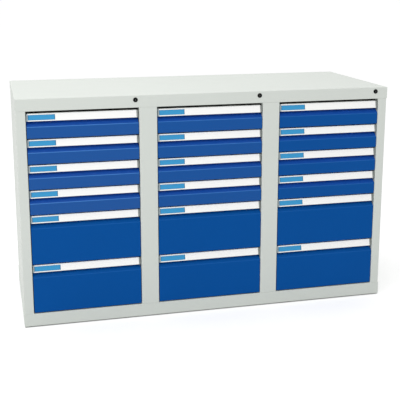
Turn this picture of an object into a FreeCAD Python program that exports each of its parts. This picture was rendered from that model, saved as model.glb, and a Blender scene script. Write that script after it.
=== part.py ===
import FreeCAD, Part
import math
import os

import Sketcher
from FreeCAD import Rotation, Vector

# A wide steel cabinet with three equal columns of lockable drawers.
# The frame: +X right, +Y to the back, +Z up, origin under the middle of the bounding box.
# Inside the functions of a drawer, x = 0 is the middle of its column, y = 0 the front plane
# of the cabinet and z = 0 the bottom of the drawer's own storey.

COLUMNS = ("left", "middle", "right")
SMALL_DRAWERS = 4
LARGE_DRAWERS = 2
LARGE_STOREYS = 2

DRIVING_SIZES = {
    # the shell
    "overall_width": 1500,
    "overall_height": 900,
    "body_depth": 600,
    "shell_sheet": 1.5,
    "base_height": 54,
    "ground_clearance": 4,
    "base_lip": 25,
    "top_rail_height": 47,
    "top_rail_lip": 20,
    "cover_skirt": 30,
    "edge_round": 2,
    "rail_edge_round": 1.2,
    "corner_round": 4,
    "fold_inside": 0.5,
    "outer_stile": 38,
    "middle_stile": 70,
    "stile_return": 34,
    "back_flange": 20,
    # the uprights, the runners and their glides
    "upright_width": 40,
    "upright_setback": 60,
    "upright_back_gap": 57,
    "runner_setback": 36,
    "runner_back_gap": 21,
    "runner_depth": 10.5,
    "runner_drop": 20,
    "runner_sheet": 1.5,
    "glide_thickness": 3,
    "glide_width": 7,
    "glide_clearance": 0.3,
    "rail_height": 12,
    "rail_top_clearance": 1.2,
    "rail_side_clearance": 2.5,
    "rail_setback": 38,
    "drawer_travel": 420,
    "stop_length": 6,
    "stop_height": 5.5,
    "stop_width": 7,
    "stop_clearance": 0.3,
    "buffer_length": 7.5,
    # the drawers
    "drawer_sheet": 1.2,
    "top_gap": 8.6,
    "front_gap": 3.3,
    "front_side_gap": 2.5,
    "bend_drop": 50.7,
    "recess_drop": 30,
    "recess_depth": 25,
    "leaf_drop": 3.5,
    "bend_round": 4,
    "tray_clearance": 3.5,
    "tray_floor": 8,
    "tray_drop": 9,
    # the grip strips on the drawer fronts
    "grip_height": 27.8,
    "grip_top_gap": 1.3,
    "grip_tilt": 6,
    "grip_wall": 1.8,
    "grip_lip": 6,
    "grip_web_gap": 4,
    "cap_width": 9.5,
    "label_height": 22,
    "label_thickness": 0.8,
    # the locks
    "lock_inset": 14,
    "lock_drop": 17,
    "lock_ring_radius": 9,
    "lock_ring_proud": 2,
    "lock_barrel_radius": 8,
    "barrel_clearance": 4,
    "lock_nut_radius": 11,
    "lock_nut_thickness": 4,
    "lock_plug_radius": 6,
    "lock_plug_proud": 3,
    "cam_clearance": 2,
    "plug_clearance": 0.1,
    "hole_clearance": 0.1,
    "key_slot_width": 1.4,
    "key_slot_height": 7,
    "key_slot_depth": 6,
    "cam_radius": 12,
    "cam_thickness": 2.5,
    "lock_lift": 12,
    "crank_pin_radius": 2.5,
    "crank_slot_clearance": 0.4,
    "bar_clearance": 0.3,
    "bar_thickness": 3,
    "bar_width": 16,
    "bar_inset": 3,
    "bar_foot_gap": 0.3,
    "arm_height": 14,
    "finger_height": 8,
    "finger_rise": 48,
    "finger_reach": 9,
    "finger_slot_clearance": 1,
    "catch_clearance": 1,
    "catch_length": 4.5,
    "catch_width": 10,
    "catch_height": 10,
    "catch_lead": 4,
    # the feet and the screws
    "foot_inset": 60,
    "foot_pad_radius": 20,
    "foot_pad_height": 8,
    "foot_stud_radius": 5,
    "foot_nut_radius": 9,
    "foot_nut_height": 7,
    "screw_head_radius": 4,
    "screw_radius": 2,
    "screw_inset": 10,
    "screw_end_gap": 60,
}
SCREW_ROWS = 4
SAME_PLACE = 1e-4

doc = FreeCAD.newDocument("drawer_cabinet")


# ---------------------------------------------------------------- sizes and expressions


class Size:
    """A length written as an expression on the cells of the sheet, for use with setExpression."""

    def __init__(self, text):
        self.text = text

    def __add__(self, other):
        return Size(f"({self.text} + {text_of(other)})")

    def __radd__(self, other):
        return Size(f"({text_of(other)} + {self.text})")

    def __sub__(self, other):
        return Size(f"({self.text} - {text_of(other)})")

    def __rsub__(self, other):
        return Size(f"({text_of(other)} - {self.text})")

    def __mul__(self, other):
        return Size(f"({self.text} * {text_of(other)})")

    __rmul__ = __mul__

    def __truediv__(self, other):
        return Size(f"({self.text} / {text_of(other)})")

    def __neg__(self):
        return Size(f"(0 - {self.text})")


def text_of(value):
    return value.text if isinstance(value, Size) else repr(value)


def number_of(value):
    return float(sheet.evalExpression(text_of(value)))


def make_sheet(sizes):
    """Writes one row per driving size: its name, and its value in a cell with that alias."""
    made = doc.addObject("Spreadsheet::Sheet", "Sizes")
    for row, (name, value) in enumerate(sizes.items(), start=1):
        made.set(f"A{row}", name)
        made.set(f"B{row}", str(value))
        made.setAlias(f"B{row}", name)
    doc.recompute()
    return made


def bind(thing, prop, value):
    thing.setExpression(prop, text_of(value))


def place(thing, x, y, z):
    for axis, value in zip("xyz", (x, y, z)):
        bind(thing, f"Placement.Base.{axis}", value)


sheet = make_sheet(DRIVING_SIZES)
S = {name: Size(f"Sizes.{name}") for name in DRIVING_SIZES}

half_width = S["overall_width"] / 2
front = (S["lock_plug_proud"] - S["body_depth"]) / 2
skin = S["shell_sheet"]
fold_outside = skin + S["fold_inside"]
rail_bottom = S["overall_height"] - S["top_rail_height"]
cover_underside = S["overall_height"] - skin
opening_width = (
    S["overall_width"] - S["outer_stile"] * 2 - S["middle_stile"] * (len(COLUMNS) - 1)
) / len(COLUMNS)
half_opening = opening_width / 2
storeys = SMALL_DRAWERS + LARGE_DRAWERS * LARGE_STOREYS
storey = (rail_bottom - S["base_height"] - S["top_gap"]) / storeys
web_back = S["body_depth"] - skin * 2
runner_back = S["body_depth"] - S["runner_back_gap"]
runner_edge = half_opening - S["runner_depth"]
half_tray = runner_edge - S["tray_clearance"]
rail_edge = half_opening - S["runner_sheet"] - S["rail_side_clearance"]
half_front = half_opening - S["front_side_gap"]
leaf_back = S["recess_depth"] + S["drawer_sheet"]
tray_back = runner_back - S["buffer_length"] - S["stop_clearance"]
rail_bottom_rise = S["runner_drop"] + S["runner_sheet"] + S["glide_thickness"] + S["glide_clearance"]
rail_top_rise = rail_bottom_rise + S["rail_height"]
runner_top_rise = rail_top_rise + S["rail_top_clearance"] + S["runner_sheet"]
lock_x = half_opening - S["lock_inset"]
lock_z = S["overall_height"] - S["lock_drop"]
crank_offset = S["lock_lift"] / 2
bar_front = leaf_back + S["bar_clearance"]
bar_back = bar_front + S["bar_thickness"]
plug_length = bar_front - S["cam_clearance"] - S["cam_thickness"]
barrel_length = plug_length - S["barrel_clearance"]


def column_x(index):
    """Middle of a column, counted from the left."""
    return S["outer_stile"] - half_width + half_opening + (opening_width + S["middle_stile"]) * index


def drawer_plan():
    """(number from the top, storeys high, storeys below it) of each drawer in a column."""
    plan = []
    below = storeys
    for number in range(1, SMALL_DRAWERS + LARGE_DRAWERS + 1):
        height = 1 if number <= SMALL_DRAWERS else LARGE_STOREYS
        below -= height
        plan.append((number, height, below))
    return plan


def storey_z(below):
    return S["base_height"] + storey * below


# ---------------------------------------------------------------- building blocks


def block(name, low, high):
    """A block between its lowest and its highest corner."""
    made = doc.addObject("Part::Box", name)
    for side, start, end in zip(("Length", "Width", "Height"), low, high):
        bind(made, side, end - start)
    place(made, *low)
    return made


def rod(name, x, y, z, radius, length, direction="y"):
    """A cylinder along +Y or +Z from the given point."""
    made = doc.addObject("Part::Cylinder", name)
    if direction == "y":
        made.Placement.Rotation = Rotation(Vector(1, 0, 0), -90)
    bind(made, "Radius", radius)
    bind(made, "Height", length)
    place(made, x, y, z)
    return made


def join(name, pieces):
    made = doc.addObject("Part::MultiFuse", name)
    made.Shapes = pieces
    made.Refine = True
    return made


def cut(name, base, tools):
    made = doc.addObject("Part::Cut", name)
    made.Base = base
    made.Tool = tools[0] if len(tools) == 1 else join(name + "_tools", tools)
    return made


def group(name, pieces, x=0, y=0, z=0):
    """Separate solids kept together, with a place of their own."""
    made = doc.addObject("Part::Compound", name)
    made.Links = pieces
    place(made, x, y, z)
    return made


def mirrored(name, source):
    """The same piece on the other side of x = 0."""
    made = doc.addObject("Part::Mirroring", name)
    made.Source = source
    made.Normal = Vector(1, 0, 0)
    return made


def origin_plane(body, role):
    return next(plane for plane in body.Origin.OriginFeatures if plane.Role == role)


def outline_sketch(body, name, plane, points):
    """A closed outline of straight edges; each corner is held by two distances from the origin."""
    sketch = body.newObject("Sketcher::SketchObject", name)
    sketch.AttachmentSupport = (origin_plane(body, plane), [""])
    sketch.MapMode = "FlatFace"
    corners = [Vector(number_of(a), number_of(b), 0) for a, b in points]
    following = corners[1:] + corners[:1]
    for start, end in zip(corners, following):
        sketch.addGeometry(Part.LineSegment(start, end), False)
    count = len(corners)
    for index in range(count):
        sketch.addConstraint(Sketcher.Constraint("Coincident", index, 2, (index + 1) % count, 1))
    for index, point in enumerate(points):
        for kind, value in zip(("DistanceX", "DistanceY"), point):
            where = sketch.addConstraint(
                Sketcher.Constraint(kind, -1, 1, index, 1, number_of(value))
            )
            label = f"{kind}_{index}"
            sketch.renameConstraint(where, label)
            bind(sketch, f"Constraints.{label}", value)
    return sketch


def extrusion(name, plane, points, length, centred=False):
    """A body whose outline is drawn on an origin plane and padded along its normal."""
    body = doc.addObject("PartDesign::Body", name)
    sketch = outline_sketch(body, name + "_outline", plane, points)
    pad = body.newObject("PartDesign::Pad", name + "_pad")
    pad.Profile = sketch
    bind(pad, "Length", length)
    if centred:
        pad.Midplane = True
    doc.recompute()
    return body


def round_edges(body, name, spots, direction, radius):
    """Rounds the edges along one axis that pass through the given spots of the plane across it."""
    across = [axis for axis in range(3) if axis != direction]
    wanted = [tuple(number_of(value) for value in spot) for spot in spots]
    last = body.Tip
    names = []
    for number, edge in enumerate(last.Shape.Edges, start=1):
        ends = [vertex.Point for vertex in edge.Vertexes]
        if len(ends) < 2:
            continue
        flat = [[end[axis] for axis in across] for end in ends]
        if any(max(math.dist(end, spot) for end in flat) < SAME_PLACE for spot in wanted):
            names.append(f"Edge{number}")
    rounding = body.newObject("PartDesign::Fillet", name)
    rounding.Base = (last, names)
    bind(rounding, "Radius", radius)
    body.Tip = rounding
    doc.recompute()
    return body


def node(thing, label):
    """Gives a finished sub-part its label, which names its file."""
    thing.Label = label
    nodes.append(thing)
    return thing


nodes = []


# ---------------------------------------------------------------- the shell


def make_top_cover():
    """Folded cover: top sheet, tall front rail with an inward lip, short skirts at the sides and back."""
    skirt_bottom = S["overall_height"] - S["cover_skirt"]
    top = S["overall_height"]
    depth = S["body_depth"]
    sheets = [
        block("cover_top", (-half_width, 0, cover_underside), (half_width, depth, top)),
        block("cover_rail", (-half_width, 0, rail_bottom), (half_width, skin, cover_underside)),
        block(
            "cover_lip",
            (skin * 2 - half_width, skin, rail_bottom),
            (half_width - skin * 2, S["top_rail_lip"], rail_bottom + skin),
        ),
        block("cover_skirt_back", (-half_width, depth - skin, skirt_bottom), (half_width, depth, top)),
        block("cover_skirt_left", (-half_width, skin, skirt_bottom), (skin - half_width, depth, top)),
        block("cover_skirt_right", (half_width - skin, skin, skirt_bottom), (half_width, depth, top)),
    ]
    cover = join("cover_sheet", sheets)
    holes = [
        rod(f"cover_hole_{name}", column_x(index) + lock_x, -skin, lock_z, barrel_hole, skin * 3)
        for index, name in enumerate(COLUMNS)
    ]
    drilled = cut("cover_drilled", cover, holes)
    return node(rounded_outside("cover_rounded", drilled, S["rail_edge_round"]), "top_cover")


def rounded_outside(name, source, bottom_edge=None):
    """Rounds the edges round the top of a box-shaped shell piece, and its lower front edge if asked."""
    doc.recompute()
    radius = number_of(S["edge_round"])
    box = source.Shape.BoundBox
    picked = []
    for number, edge in enumerate(source.Shape.Edges, start=1):
        ends = edge.BoundBox
        on_top = ends.ZMin > box.ZMax - SAME_PLACE
        on_bottom = ends.ZMax < box.ZMin + SAME_PLACE
        on_front = ends.YMax < box.YMin + SAME_PLACE
        on_back = ends.YMin > box.YMax - SAME_PLACE
        on_side = ends.XMax < box.XMin + SAME_PLACE or ends.XMin > box.XMax - SAME_PLACE
        if on_top and (on_front or on_back or on_side):
            picked.append((number, radius, radius))
        if bottom_edge and on_bottom and on_front:
            picked.append((number, number_of(bottom_edge), number_of(bottom_edge)))
    made = doc.addObject("Part::Fillet", name)
    made.Base = source
    made.Edges = picked
    place(made, 0, front, 0)
    return made


def make_base():
    """Plinth folded from one sheet: deck, skirts down to the floor gap and lips turned inward."""
    low = S["ground_clearance"]
    deck = S["base_height"] - skin
    depth = S["body_depth"]
    lip = S["base_lip"]
    sheets = [
        block("base_deck", (-half_width, 0, deck), (half_width, depth, S["base_height"])),
        block("base_front", (-half_width, 0, low), (half_width, skin, deck)),
        block("base_back", (-half_width, depth - skin, low), (half_width, depth, deck)),
        block("base_left", (-half_width, 0, low), (skin - half_width, depth, deck)),
        block("base_right", (half_width - skin, 0, low), (half_width, depth, deck)),
        block("base_lip_front", (-half_width, 0, low), (half_width, lip, low + skin)),
        block("base_lip_back", (-half_width, depth - lip, low), (half_width, depth, low + skin)),
    ]
    return node(rounded_outside("base_rounded", join("base_sheet", sheets)), "base_plinth")


def make_side_panel(side):
    """Side wall, front stile, the stile's return along the opening and the back flange, in one sheet."""
    outer = S["outer_stile"] - skin
    points = [
        (0, 0),
        (outer, 0),
        (outer, S["stile_return"]),
        (outer - skin, S["stile_return"]),
        (outer - skin, skin),
        (skin, skin),
        (skin, web_back - skin),
        (S["back_flange"], web_back - skin),
        (S["back_flange"], web_back),
        (0, web_back),
    ]
    name = f"{side}_wall"
    wall = extrusion(name, "XY_Plane", points, cover_underside - S["base_height"])
    round_edges(wall, name + "_corner", [points[0]], 2, S["corner_round"])
    round_edges(wall, name + "_inner_corner", [points[5]], 2, S["corner_round"] - skin)
    round_edges(wall, name + "_folds", [points[1], points[9]], 2, fold_outside)
    round_edges(wall, name + "_inner_folds", [points[4], points[6]], 2, S["fold_inside"])
    place(wall, skin - half_width, 0, S["base_height"])
    clearance = [
        block(
            f"{name}_rail_notch",
            (skin - half_width, 0, rail_bottom),
            (S["outer_stile"] - half_width, skin, cover_underside),
        ),
        block(
            f"{name}_lip_notch",
            (skin * 2 - half_width, skin, rail_bottom),
            (S["outer_stile"] - half_width, S["stile_return"], cover_underside),
        ),
    ]
    panel = cut(f"{name}_notched", wall, clearance)
    if side == "right":
        panel = mirrored("right_wall_mirrored", panel)
        panel = cut("right_wall_slotted", panel, finger_slots("right_wall", half_width - S["outer_stile"]))
    place(panel, 0, front, 0)
    return node(panel, f"{side}_side_panel")


def make_divider(index, side):
    """Middle stile with a return along each opening, a web to the back and a back flange."""
    stile = S["middle_stile"]
    middle = stile / 2
    flange = S["back_flange"]
    points = [
        (0, 0),
        (stile, 0),
        (stile, S["stile_return"]),
        (stile - skin, S["stile_return"]),
        (stile - skin, skin),
        (middle + skin / 2, skin),
        (middle + skin / 2, web_back - skin),
        (middle + flange, web_back - skin),
        (middle + flange, web_back),
        (middle - flange, web_back),
        (middle - flange, web_back - skin),
        (middle - skin / 2, web_back - skin),
        (middle - skin / 2, skin),
        (skin, skin),
        (skin, S["stile_return"]),
        (0, S["stile_return"]),
    ]
    name = f"divider_{side}"
    wall = extrusion(name + "_wall", "XY_Plane", points, rail_bottom - S["base_height"])
    round_edges(wall, name + "_folds", points[:2], 2, fold_outside)
    round_edges(wall, name + "_inner_folds", [points[4], points[13]], 2, S["fold_inside"])
    edge = column_x(index) + half_opening
    place(wall, edge, 0, S["base_height"])
    slotted = cut(name + "_slotted", wall, finger_slots(name, edge))
    place(slotted, 0, front, 0)
    return node(slotted, name)


def finger_slots(name, edge):
    """Slots in a stile's return, through which the lock bar's fingers reach; edge is the opening's x."""
    slots = []
    margin = S["finger_slot_clearance"]
    for number, _, below in drawer_plan():
        low = storey_z(below) + S["finger_rise"] - margin
        high = low + S["finger_height"] + S["lock_lift"] + margin * 2
        slots.append(
            block(
                f"{name}_slot_{number}",
                (edge - skin, bar_front - margin / 2, low),
                (edge + skin * 2, bar_back + margin / 2, high),
            )
        )
    return slots


def screw_spots():
    """x and z of the screws that hold the back sheet to the flanges of the walls."""
    inset = skin + S["screw_inset"]
    columns = [inset - half_width, half_width - inset]
    for index in range(len(COLUMNS) - 1):
        columns.append(column_x(index) + half_opening + S["middle_stile"] / 2 + S["screw_inset"])
    low = S["base_height"] + S["screw_end_gap"]
    step = (rail_bottom - S["screw_end_gap"] - low) / (SCREW_ROWS - 1)
    return [(x, low + step * row) for x in columns for row in range(SCREW_ROWS)]


def screw_holes(name, spots, start, length):
    radius = S["screw_radius"] + S["hole_clearance"]
    return [rod(f"{name}_{index}", x, start, z, radius, length) for index, (x, z) in enumerate(spots)]


def make_back_panel():
    sheet_piece = block(
        "back_sheet",
        (skin - half_width, web_back, S["base_height"]),
        (half_width - skin, web_back + skin, cover_underside),
    )
    holes = screw_holes("back_hole", screw_spots(), web_back - skin, skin * 3)
    panel = cut("back_drilled", sheet_piece, holes)
    place(panel, 0, front, 0)
    return node(panel, "back_panel")


def make_back_screws():
    """Pan-head screws through the back sheet, each ending at the face of the flange behind it."""
    screws = []
    for index, (x, z) in enumerate(screw_spots()):
        head = rod(f"screw_head_{index}", x, web_back + skin, z, S["screw_head_radius"], skin)
        shank = rod(f"screw_shank_{index}", x, web_back, z, S["screw_radius"], skin)
        screws.append(join(f"back_screw_{index}", [head, shank]))
    return node(group("back_screw_set", screws, 0, front, 0), "back_screws")


def make_feet():
    """Levelling feet: a round pad, its threaded stud and the nut under the deck."""
    deck = S["base_height"] - skin
    inset = S["foot_inset"]
    feet = []
    for row, x in enumerate((inset - half_width, 0, half_width - inset)):
        for line, y in enumerate((inset, S["body_depth"] - inset)):
            name = f"foot_{row}_{line}"
            nut_bottom = deck - S["foot_nut_height"]
            stud_length = deck - S["foot_pad_height"]
            pieces = [
                rod(f"{name}_pad", x, y, 0, S["foot_pad_radius"], S["foot_pad_height"], "z"),
                rod(f"{name}_stud", x, y, S["foot_pad_height"], S["foot_stud_radius"], stud_length, "z"),
                rod(f"{name}_nut", x, y, nut_bottom, S["foot_nut_radius"], S["foot_nut_height"], "z"),
            ]
            feet.append(join(name, pieces))
    return node(group("feet", feet, 0, front, 0), "levelling_feet")


# ---------------------------------------------------------------- uprights and runners


def upright(name, x, y, reach, way):
    """Channel with its face on the opening side at x and two legs reaching outward to the wall."""
    low = S["base_height"]
    end_y = y + S["upright_width"]
    if way > 0:
        face = (x, x + skin)
        leg = (x, x + reach)
    else:
        face = (x - skin, x)
        leg = (x - reach, x)
    pieces = [
        block(f"{name}_face", (face[0], y, low), (face[1], end_y, rail_bottom)),
        block(f"{name}_leg_a", (leg[0], y, low), (leg[1], y + skin, rail_bottom)),
        block(f"{name}_leg_b", (leg[0], end_y - skin, low), (leg[1], end_y, rail_bottom)),
    ]
    return join(name, pieces)


def make_uprights():
    channels = []
    outer_reach = S["outer_stile"] - skin * 2
    inner_reach = (S["middle_stile"] - skin) / 2
    last = len(COLUMNS) - 1
    back = S["body_depth"] - S["upright_back_gap"] - S["upright_width"]
    for index, column in enumerate(COLUMNS):
        for row, y in enumerate((S["upright_setback"], back)):
            left_reach = outer_reach if index == 0 else inner_reach
            right_reach = outer_reach if index == last else inner_reach
            middle = column_x(index)
            channels.append(upright(f"upright_{column}_a{row}", middle - half_opening, y, left_reach, -1))
            channels.append(upright(f"upright_{column}_b{row}", middle + half_opening, y, right_reach, 1))
    return node(group("upright_set", channels, 0, front, 0), "uprights")


def make_runner_master():
    """Right-hand runner of one drawer: a channel open towards the tray, with a stop block inside."""
    low = S["runner_drop"]
    wall = S["runner_sheet"]
    high = runner_top_rise
    start = S["runner_setback"]
    stop_end = tray_back - S["drawer_sheet"] - S["drawer_travel"] - S["stop_clearance"]
    stop_low = (rail_bottom_rise + rail_top_rise) / 2 - S["stop_height"] / 2
    pieces = [
        block("runner_web", (half_opening - wall, start, low), (half_opening, runner_back, high)),
        block("runner_shelf", (runner_edge, start, low), (half_opening, runner_back, low + wall)),
        block("runner_roof", (runner_edge, start, high - wall), (half_opening, runner_back, high)),
        block(
            "runner_stop",
            (half_opening - wall - S["stop_width"], stop_end - S["stop_length"], stop_low),
            (half_opening - wall, stop_end, stop_low + S["stop_height"]),
        ),
    ]
    return join("runner", pieces)


def make_glide_masters():
    """The slippery strip on the runner's shelf and the buffer that ends the drawer's way in."""
    shelf = S["runner_drop"] + S["runner_sheet"]
    wall = half_opening - S["runner_sheet"]
    strip = block(
        "glide_strip",
        (runner_edge, S["runner_setback"], shelf),
        (runner_edge + S["glide_width"], runner_back, shelf + S["glide_thickness"]),
    )
    buffer = block(
        "glide_buffer",
        (runner_edge, tray_back + S["stop_clearance"], shelf + S["glide_thickness"]),
        (wall, runner_back, rail_top_rise),
    )
    return [strip, buffer]


def make_runners():
    """The runners of each column, and every glide and buffer in them."""
    runner = make_runner_master()
    pair = [runner, mirrored("runner_left", runner)]
    glides = make_glide_masters()
    glides = glides + [mirrored(f"{piece.Name}_left", piece) for piece in glides]
    all_glides = []
    for index, column in enumerate(COLUMNS):
        runners = []
        for number, _, below in drawer_plan():
            runners.append(group(f"runners_{column}_{number}", pair, 0, 0, storey_z(below)))
            all_glides.append(
                group(f"glides_{column}_{number}", glides, column_x(index), 0, storey_z(below))
            )
        node(group(f"runner_set_{column}", runners, column_x(index), front, 0), f"{column}_column_runners")
    node(group("glide_set", all_glides, 0, front, 0), "runner_glides")


# ---------------------------------------------------------------- drawers


def make_front_master(name, height):
    """Folded drawer front: upright face, slope into the finger recess, leaf behind the grip, closed ends."""
    sheet_gauge = S["drawer_sheet"]
    bottom = S["front_gap"]
    bend = height - S["bend_drop"]
    slope_top = height - S["recess_drop"]
    leaf_top = height - S["leaf_drop"]
    depth = S["recess_depth"]
    rise = slope_top - bend
    slant = Size(f"sqrt({(depth * depth + rise * rise).text})")
    tuck = sheet_gauge * depth / (slant + rise)
    points = [
        (0, bottom),
        (0, bend),
        (depth, slope_top),
        (depth, leaf_top),
        (leaf_back, leaf_top),
        (leaf_back, slope_top - tuck),
        (sheet_gauge, bend - tuck),
        (sheet_gauge, bottom + sheet_gauge),
        (leaf_back, bottom + sheet_gauge),
        (leaf_back, bottom),
    ]
    panel = extrusion(f"{name}_sheet", "YZ_Plane", points, half_front * 2, centred=True)
    outside = S["bend_round"]
    inside = outside - sheet_gauge
    round_edges(panel, f"{name}_outer_bends", [points[0], points[1], points[5]], 0, outside)
    round_edges(panel, f"{name}_inner_bends", [points[7], points[6], points[2]], 0, inside)
    cheek_points = [
        (sheet_gauge, bottom + sheet_gauge),
        (sheet_gauge, bend - tuck),
        (leaf_back, slope_top - tuck),
        (leaf_back, bottom + sheet_gauge),
    ]
    cheek = extrusion(f"{name}_cheek", "YZ_Plane", cheek_points, sheet_gauge)
    place(cheek, half_front - sheet_gauge, 0, 0)
    return join(f"{name}_front", [panel, cheek, mirrored(f"{name}_cheek_left", cheek)])


def make_tub_master(name, height):
    """Open tray with a catch for the lock bar on the front end of its right wall."""
    wall = S["drawer_sheet"]
    floor = S["tray_floor"]
    rim = height - S["tray_drop"]
    outside = block(f"{name}_outside", (-half_tray, leaf_back, floor), (half_tray, tray_back, rim))
    inside = block(
        f"{name}_inside",
        (wall - half_tray, leaf_back + wall, floor + wall),
        (half_tray - wall, tray_back - wall, rim + wall),
    )
    tub = cut(f"{name}_tub", outside, [inside])
    catch_front = bar_back + S["catch_clearance"]
    catch_low = S["finger_rise"] + S["finger_height"] + S["catch_lead"]
    catch = block(
        f"{name}_catch",
        (half_tray, catch_front, catch_low),
        (half_tray + S["catch_width"], catch_front + S["catch_length"], catch_low + S["catch_height"]),
    )
    return join(f"{name}_tray", [tub, catch])


def make_rail_master():
    """Right-hand slide rail, welded to the tray: a channel open outward, closed at its back end."""
    gauge = S["drawer_sheet"]
    low = rail_bottom_rise
    high = rail_top_rise
    start = S["rail_setback"]
    pieces = [
        block("rail_web", (half_tray, start, low), (half_tray + gauge, tray_back, high)),
        block("rail_shelf", (half_tray, start, low), (rail_edge, tray_back, low + gauge)),
        block("rail_roof", (half_tray, start, high - gauge), (rail_edge, tray_back, high)),
        block("rail_end", (half_tray, tray_back - gauge, low), (rail_edge, tray_back, high)),
    ]
    return join("rail", pieces)


def make_grip_masters(name, height):
    """Grip strip on a drawer front: slanting face with a lower lip, its label and the two end caps."""
    top = height - S["grip_top_gap"]
    low = top - S["grip_height"]
    tilt = S["grip_tilt"]
    wall = S["grip_wall"]
    depth = S["recess_depth"]
    tall = S["grip_height"]
    web_low = height - S["recess_drop"] + S["grip_web_gap"]
    slant = Size(f"sqrt({(tilt * tilt + tall * tall).text})")
    lean = tilt / tall
    across = wall * slant / tall
    points = [
        (0, low),
        (tilt, top),
        (depth, top),
        (depth, web_low),
        (depth - wall, web_low),
        (depth - wall, top - wall),
        (lean * (tall - wall) + across, top - wall),
        (lean * wall + across, low + wall),
        (S["grip_lip"], low + wall),
        (S["grip_lip"], low),
    ]
    half_grip = half_front - S["cap_width"]
    strip = extrusion(f"{name}_strip", "YZ_Plane", points, half_grip * 2, centred=True)
    round_edges(strip, f"{name}_strip_round", [points[0], points[1]], 0, wall / 2)
    label_low = (tall - S["label_height"] * tall / slant) / 2
    label_high = tall - label_low
    out = S["label_thickness"] * slant / tall
    label_points = [
        (lean * label_low - out, low + label_low),
        (lean * label_high - out, low + label_high),
        (lean * label_high, low + label_high),
        (lean * label_low, low + label_low),
    ]
    label = extrusion(f"{name}_label", "YZ_Plane", label_points, half_grip * 2, centred=True)
    cap_points = [
        (0, low),
        (tilt, top),
        (depth, top),
        (depth, web_low),
        (S["grip_lip"], low),
    ]
    cap = extrusion(f"{name}_cap", "YZ_Plane", cap_points, S["cap_width"])
    place(cap, half_grip, 0, 0)
    return [strip, label, cap, mirrored(f"{name}_cap_left", cap)]


def make_drawers():
    rail = make_rail_master()
    rails = [rail, mirrored("rail_left", rail)]
    masters = {}
    for name, height in (("small", 1), ("large", LARGE_STOREYS)):
        tall = storey * height
        tray = [make_tub_master(name, tall), make_front_master(name, tall)] + rails
        masters[height] = (tray, make_grip_masters(name, tall))
    for index, column in enumerate(COLUMNS):
        for number, height, below in drawer_plan():
            tray, grip = masters[height]
            spot = (column_x(index), front, storey_z(below))
            label = f"drawer_{column}_{number}"
            node(group(f"{label}_tray_set", tray, *spot), f"{label}_tray")
            node(group(f"{label}_grip_set", grip, *spot), f"{label}_grip")


# ---------------------------------------------------------------- locks


barrel_hole = S["lock_barrel_radius"] + S["hole_clearance"]


def make_housing_master():
    """Lock barrel with its outer ring, and the nut that clamps it behind the top rail."""
    ring = S["lock_ring_proud"]
    barrel = join(
        "housing_body",
        [
            rod("housing_ring", lock_x, -ring, lock_z, S["lock_ring_radius"], ring),
            rod("housing_barrel", lock_x, 0, lock_z, S["lock_barrel_radius"], barrel_length),
        ],
    )
    bore_radius = S["lock_plug_radius"] + S["plug_clearance"]
    bore = rod("housing_bore", lock_x, -ring * 2, lock_z, bore_radius, barrel_length + ring * 3)
    housing = cut("housing", barrel, [bore])
    nut_blank = rod("nut_blank", lock_x, skin, lock_z, S["lock_nut_radius"], S["lock_nut_thickness"])
    nut_bore = rod("nut_bore", lock_x, 0, lock_z, barrel_hole, S["lock_nut_thickness"] * 2)
    return [housing, cut("nut", nut_blank, [nut_bore])]


def make_plug_master():
    """Turning plug with its key slot; its front stands proud of the ring."""
    proud = S["lock_plug_proud"]
    plug = rod("plug_blank", lock_x, -proud, lock_z, S["lock_plug_radius"], plug_length + proud)
    half_slot = S["key_slot_width"] / 2
    half_tall = S["key_slot_height"] / 2
    slot = block(
        "key_slot",
        (lock_x - half_slot, -proud * 2, lock_z - half_tall),
        (lock_x + half_slot, S["key_slot_depth"] - proud, lock_z + half_tall),
    )
    return cut("plug", plug, [slot])


def make_cam_master():
    """Cam disc behind the plug, with the crank pin that lifts the lock bar."""
    start = plug_length
    pin_start = start + S["cam_thickness"]
    disc = rod("cam_disc", lock_x, start, lock_z, S["cam_radius"], S["cam_thickness"])
    pin = rod(
        "cam_pin",
        lock_x - crank_offset,
        pin_start,
        lock_z - crank_offset,
        S["crank_pin_radius"],
        bar_back + S["crank_slot_clearance"] - pin_start,
    )
    return join("cam", [disc, pin])


def make_bar_master():
    """Flat lock bar in the stile: an arm over the crank pin and one finger behind each drawer's edge."""
    y = (bar_front, bar_back)
    left = half_opening + S["bar_inset"]
    right = left + S["bar_width"]
    pin_z = lock_z - crank_offset
    arm_low = pin_z - S["arm_height"] / 2
    reach = crank_offset * math.sqrt(2)
    slot_half = S["crank_pin_radius"] + S["crank_slot_clearance"]
    slot_left = lock_x - reach - slot_half
    slot_right = lock_x - crank_offset + slot_half
    arm_left = slot_left - S["bar_thickness"]
    pieces = [
        block(
            "bar_strip",
            (left, y[0], S["base_height"] + S["bar_foot_gap"]),
            (right, y[1], arm_low + S["arm_height"]),
        ),
        block("bar_arm", (arm_left, y[0], arm_low), (right, y[1], arm_low + S["arm_height"])),
    ]
    for number, _, below in drawer_plan():
        low = storey_z(below) + S["finger_rise"]
        pieces.append(
            block(
                f"bar_finger_{number}",
                (half_opening - S["finger_reach"], y[0], low),
                (left, y[1], low + S["finger_height"]),
            )
        )
    slot = block(
        "bar_slot",
        (slot_left, y[0] - skin, pin_z - slot_half),
        (slot_right, y[1] + skin, pin_z + slot_half),
    )
    return cut("bar", join("bar_blank", pieces), [slot])


def make_locks():
    housing = make_housing_master()
    plug = make_plug_master()
    cam = make_cam_master()
    bar = make_bar_master()
    housings = []
    for index, column in enumerate(COLUMNS):
        x = column_x(index)
        housings.append(group(f"housing_{column}", housing, x, 0, 0))
        node(group(f"plug_{column}", [plug], x, front, 0), f"lock_plug_{column}")
        node(group(f"cam_{column}", [cam], x, front, 0), f"lock_cam_{column}")
        node(group(f"bar_{column}", [bar], x, front, 0), f"lock_bar_{column}")
    node(group("housing_set", housings, 0, front, 0), "lock_housings")


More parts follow.
